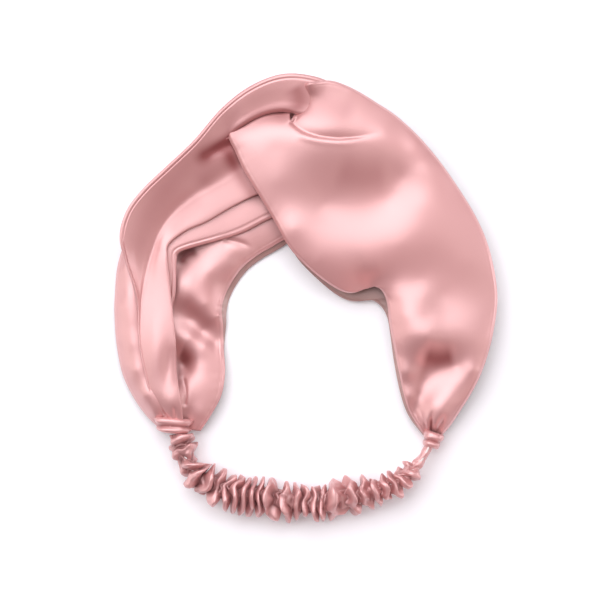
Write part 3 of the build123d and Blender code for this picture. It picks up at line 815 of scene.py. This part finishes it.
def satin(name, deep, pale, dull_and_shade, fold_shade_paint, gloss=0.43):
    """Satin: the fourth colour is its matte reverse, darkened as painted shade, and the fifth is
    painted shade far down between folds.
    """
    s = Shader(name)
    place, weave = s.place(), s.place("UV")
    broad = s.noise(place, 16.0, 3.0)
    fine = s.noise(place, 240.0, 3.0)
    threads = s.wave("X", Vector=weave, Scale=900.0, Distortion=1.2, Detail=1.0)
    slubs = s.noise(s.scaled(weave, (260.0, 18.0, 1.0)), 6.0)
    reverse_and_shade, painted_shade = s.attribute("reverse_and_shade"), s.attribute("painted_shade")
    colour = s.mix(broad, deep, pale)
    colour = s.mix(fine * 0.10, colour, tuple(0.86 * c for c in deep))
    # the dull reverse, darkened as painted shade where under-plies show in the shade of others
    colour = s.mix(reverse_and_shade, colour, dull_and_shade)
    # painted shade far down between folds, which also takes coat off and adds roughness there
    colour = s.mix(painted_shade, colour, fold_shade_paint)
    rough = gloss + 0.06 * broad + 0.05 * slubs + 0.22 * reverse_and_shade + 0.12 * painted_shade
    relief = s.bump(threads, 0.10, 0.00012)
    relief = s.bump(slubs, 0.12, 0.0002, relief)
    relief = s.bump(fine, 0.05, 0.0006, relief)
    return s.set(
        Base_Color=colour,
        Roughness=rough,
        Normal=relief,
        Metallic=0.42,
        Coat_Weight=1.0 - 0.7 * painted_shade,
        Coat_IOR=2.15,
        Coat_Roughness=0.42,
        Sheen_Weight=0.10,
        Sheen_Roughness=0.45,
        Sheen_Tint=(1.0, 0.90, 0.93),
        Specular_IOR_Level=0.5,
        Anisotropic=0.3,
    )


# the third colour is the matte reverse, darkened as painted shade
ROSE, BLUSH, DULL_AND_SHADE = (0.65, 0.285, 0.278), (0.70, 0.335, 0.328), (0.36, 0.20, 0.17)
# painted shade colours for far down between folds
FOLD_SHADE_PAINT, RUCHED_FOLD_SHADE_PAINT = (0.26, 0.045, 0.045), (0.17, 0.035, 0.035)
satin_face = satin("satin", ROSE, BLUSH, DULL_AND_SHADE, FOLD_SHADE_PAINT)
satin_gathered = satin("ruched_satin", ROSE, BLUSH, DULL_AND_SHADE, RUCHED_FOLD_SHADE_PAINT, 0.42)


def thread_finish():
    s = Shader("thread")
    place = s.place()
    twist = s.wave("DIAGONAL", Vector=place, Scale=900.0)
    fluff = s.noise(place, 900.0)
    colour = s.mix(fluff, (0.55, 0.27, 0.26), (0.72, 0.42, 0.41))
    rough, relief = 0.5 + 0.2 * fluff, s.bump(twist, 0.4, 0.0002)
    return s.set(Base_Color=colour, Roughness=rough, Normal=relief, Sheen_Weight=0.3)


def elastic_finish():
    s = Shader("elastic")
    place = s.place()
    ribs = s.wave("Z", Vector=place, Scale=330.0, Distortion=0.6)
    cover = s.noise(place, 600.0)
    colour = s.mix(cover, (0.78, 0.70, 0.68), (0.88, 0.82, 0.80))
    rough, relief = 0.65 + 0.15 * cover, s.bump(ribs, 0.5, 0.0004)
    return s.set(Base_Color=colour, Roughness=rough, Normal=relief, Sheen_Weight=0.2)


# ---------------------------------------------------------------- build


def finished(piece, material, body, slot, *nodes):
    """Gives a piece its material, its body if it doesn't cross the joint, and what it replaces."""
    piece.data.materials.append(material)
    if body:
        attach(piece, body)
    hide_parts(*nodes)


def n(count):
    return int(count * (1.0))


# Painted shade between folds and beside edges: a line, its width and how dark the painted shade
# gets.
RIGHT_PAINTED_SHADE = [
    ([(54, -27), (62, -28.5), (71, -27)], 5.4, 0.85),
    ([(-8, 94), (7, 91), (25, 85)], 8.0, 0.40),
    ([(-44, 72), (-29, 82), (-15, 85), (0, 84)], 4.6, 0.40),
    ([(57, -30), (53.4, -41), (51.5, -51)], 2.4, 0.30),
    ([(59.3, -56), (59.3, -61), (59.8, -66)], 0.9, 0.75),
    ([(12, 61), (26, 57), (40, 58)], 8.5, 0.30),
    ([(22, 9), (30, 12), (36, 14)], 5.0, 0.14),
    ([(-28, 97), (-14, 92), (-8, 86.5)], 3.0, 0.75),
]
CUP_PAINTED_SHADE = [
    ([(-24, 78), (-36, 73), (-44, 70), (-54, 63)], 3.6, 0.85),
    ([(-24, 70), (-34, 66), (-43, 60), (-54, 50)], 5.4, 0.40),
    ([(-40, 78), (-55, 64), (-68, 48), (-77, 30), (-79.5, 8)], 8.0, 0.36),
    ([(-48, 52), (-58, 42), (-66, 28)], 5.0, 0.24),
    ([(-63.2, -18), (-62.4, -32), (-62.2, -44)], 1.8, 0.50),
    ([(-56, 69), (-40, 86), (-26, 95), (-11, 100)], 5.0, 0.16),
    ([(-40, 74), (-33.5, 62), (-27, 52), (-20, 42)], 3.4, 0.60),
    ([(-46, 68), (-37, 76), (-24, 85), (-12, 88), (4, 87)], 3.2, 0.60),
    ([(-6, 101), (-3.5, 95), (-4, 87)], 4.5, 0.60),
]
LOWER_PAINTED_SHADE = [
    ([(-61.0, -26), (-57.6, -28), (-60.5, -31)], 4.6, 0.80),
    ([(-57, 9), (-50, 7), (-42, 5)], 6.0, 0.24),
    ([(-60, 3), (-54.5, -4), (-43, -16)], 4.6, 0.42),
    ([(-60.5, 15), (-58, 20.5), (-51, 23.4)], 2.8, 1.1),
    ([(-61.4, -29), (-60.6, -38), (-61.4, -46)], 1.5, 0.75),
]


def painted_fold_shade(grid, lines):
    """How much painted shade each point of a sheet gets from lines of painted fold shade."""
    x, y = grid[..., 0], grid[..., 1]
    fade = (0.25, 0.25)
    total = sum(dark * stroke(x, y, line, wide, wide, 2, fade) for line, wide, dark in lines)
    return np.clip(total, 0, 1)


def ply(grids, dull_and_shade, lines=()):
    """Grids as sheets of a cloth: how much of the dull reverse shows, darkened as painted shade,
    and the painted shade of their folds.
    """
    return [(grid, dull_and_shade, painted_fold_shade(grid, lines) if lines else 0.0) for grid in grids]


TURN_PAINTED_SHADE = 0.3  # painted shade on the turns at the knot, which lie in the shade of the folds over them

# plies at 0.8 and 0.4 show the dull reverse, darkened as painted shade
right_outer = cloth(
    "right_ribbon_outer",
    ply(right_front(n(230), n(104)), 0.0, RIGHT_PAINTED_SHADE)
    + ply([right_back(n(90), n(40), 1.4)], 0.8)
    + [(turn(RIGHT_TURN, n(24), n(50)), 0.0, TURN_PAINTED_SHADE)],
)
right_inner = cloth(
    "right_ribbon_lining",
    ply(right_front(n(110), n(52), 1.3), 0.8) + ply([right_back(n(120), n(50))], 0.8),
)
left_outer = cloth(
    "left_ribbon_outer",
    ply(left_front(n(230), n(120)), 0.0, CUP_PAINTED_SHADE)
    + ply([left_back(n(100), n(44), 1.6, 2.4)], 0.8)
    + [(turn(LEFT_TURN, n(24), n(60)), 0.0, TURN_PAINTED_SHADE)],
)
left_inner = cloth(
    "left_ribbon_lining",
    ply(left_front(n(110), n(60), 1.3), 0.4)
    + ply([left_back(n(200), n(100))], 0.0, LOWER_PAINTED_SHADE),
)
for side, outer, inner in (
    ("right", right_outer, right_inner),
    ("left", left_outer, left_inner),
):
    plies, seams = f"{side}_ribbon_outer_ply", f"{side}_ribbon_edge_seams"
    finished(outer, satin_face, f"{side}_band", "satin", plies, seams)
    finished(inner, satin_face, f"{side}_band", "satin", f"{side}_ribbon_lining_ply")

gathers, folds_painted_shade = casing(n(470), n(96))
ruched = cloth("gathered_casing", [(gathers, 0.0, folds_painted_shade)], 0.3, closed=True)
finished(ruched, satin_gathered, None, "ruched_satin", "elastic_casing", "casing_seam")
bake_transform(ruched)

ribbon = cloth("elastic_ribbon", [(elastic(), 0.0, 0.0)], 0.9)
finished(ribbon, elastic_finish(), None, "elastic", "elastic_strip")
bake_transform(ribbon)

# The tacks lie inside the wraps. The left ribbon's gather tack is shown as the thread that it is.
HIDDEN_TACKS = {
    "left": ("left_elastic_tack",),
    "right": ("right_elastic_tack", "right_gather_tack"),
}
wraps = {}
for side, (*size, seed) in TABS.items():
    shape, tab_painted_shade = end_tab(*size, seed=seed)
    wraps[side] = cloth(f"{side}_tab_wrap", [(shape, 0.0, tab_painted_shade)], 0.5, closed=True)
    hidden = (f"{side}_end_tab", *HIDDEN_TACKS[side])
    finished(wraps[side], satin_face, f"{side}_band", "satin", *hidden)

thread = thread_finish()
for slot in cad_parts["left_gather_tack"].material_slots:
    slot.material = thread

# ---------------------------------------------------------------- floor, light and camera


# Each light's place, its width and height in metres, its power in watts and its colour.
LIGHTS = {
    "key": ((-0.40, 0.72, 1.20), (2.3, 1.6), 35.0, (1.0, 0.975, 1.0)),
    "side": ((-1.0, -0.1, 0.35), (0.4, 0.8), 2.0, (1.0, 0.93, 0.88)),
    "rim": ((1.0, 0.1, 0.30), (0.3, 0.8), 3.4, (1.0, 0.94, 0.97)),
    "right": ((0.95, -0.35, 0.95), (0.9, 1.5), 2.6, (1.0, 0.94, 0.86)),
    "warm": ((0.35, -0.95, 0.45), (0.5, 0.4), 1.4, (1.0, 0.45, 0.42)),
}

for name, (place, (wide, high), power, colour) in LIGHTS.items():
    light = bpy.data.lights.new(name, "AREA")
    light.shape, light.size, light.size_y = "RECTANGLE", wide, high
    light.energy, light.color = power, colour
    lamp = bpy.data.objects.new(name, light)
    lamp.location = place
    lamp.rotation_euler = (-Vector(place)).to_track_quat("-Z", "Y").to_euler()
    bpy.context.scene.collection.objects.link(lamp)

world = bpy.data.worlds.new("room")
bpy.context.scene.world = world
world.use_nodes = True
sky = world.node_tree.nodes["Background"].inputs
sky["Color"].default_value = (0.90, 0.92, 1.0, 1.0)
sky["Strength"].default_value = 0.16

bpy.ops.object.select_all(action="DESELECT")
bpy.ops.mesh.primitive_plane_add(size=6.0, location=(0, 0, -0.0002))
floor = bpy.context.active_object
floor.name = "floor"
paper = Shader("white_table")
grain = paper.noise(paper.place(), 90.0, 4.0)
paper.set(
    Base_Color=paper.mix(grain, (0.88, 0.885, 0.91), (0.91, 0.915, 0.94)),
    Roughness=0.75,
    Specular_IOR_Level=0.1,
    Emission_Color=(0.97, 0.97, 1.0),
    Emission_Strength=0.10,
)
floor.data.materials.append(paper.material)

SENSOR, FOCAL = 36.0, 110.0  # mm
VIEW = 0.2844  # how wide the camera sees at the height of FOCUS, m
FOCUS = (-0.0031, -0.0007, 0.010)

lens = bpy.data.cameras.new("camera")
lens.sensor_width, lens.lens = SENSOR, FOCAL
camera = bpy.data.objects.new("camera", lens)
camera.location = (*FOCUS[:2], FOCUS[2] + VIEW / 2 / (SENSOR / 2 / FOCAL))
bpy.context.scene.collection.objects.link(camera)
bpy.context.scene.camera = camera
bpy.context.scene.view_settings.view_transform = "Standard"
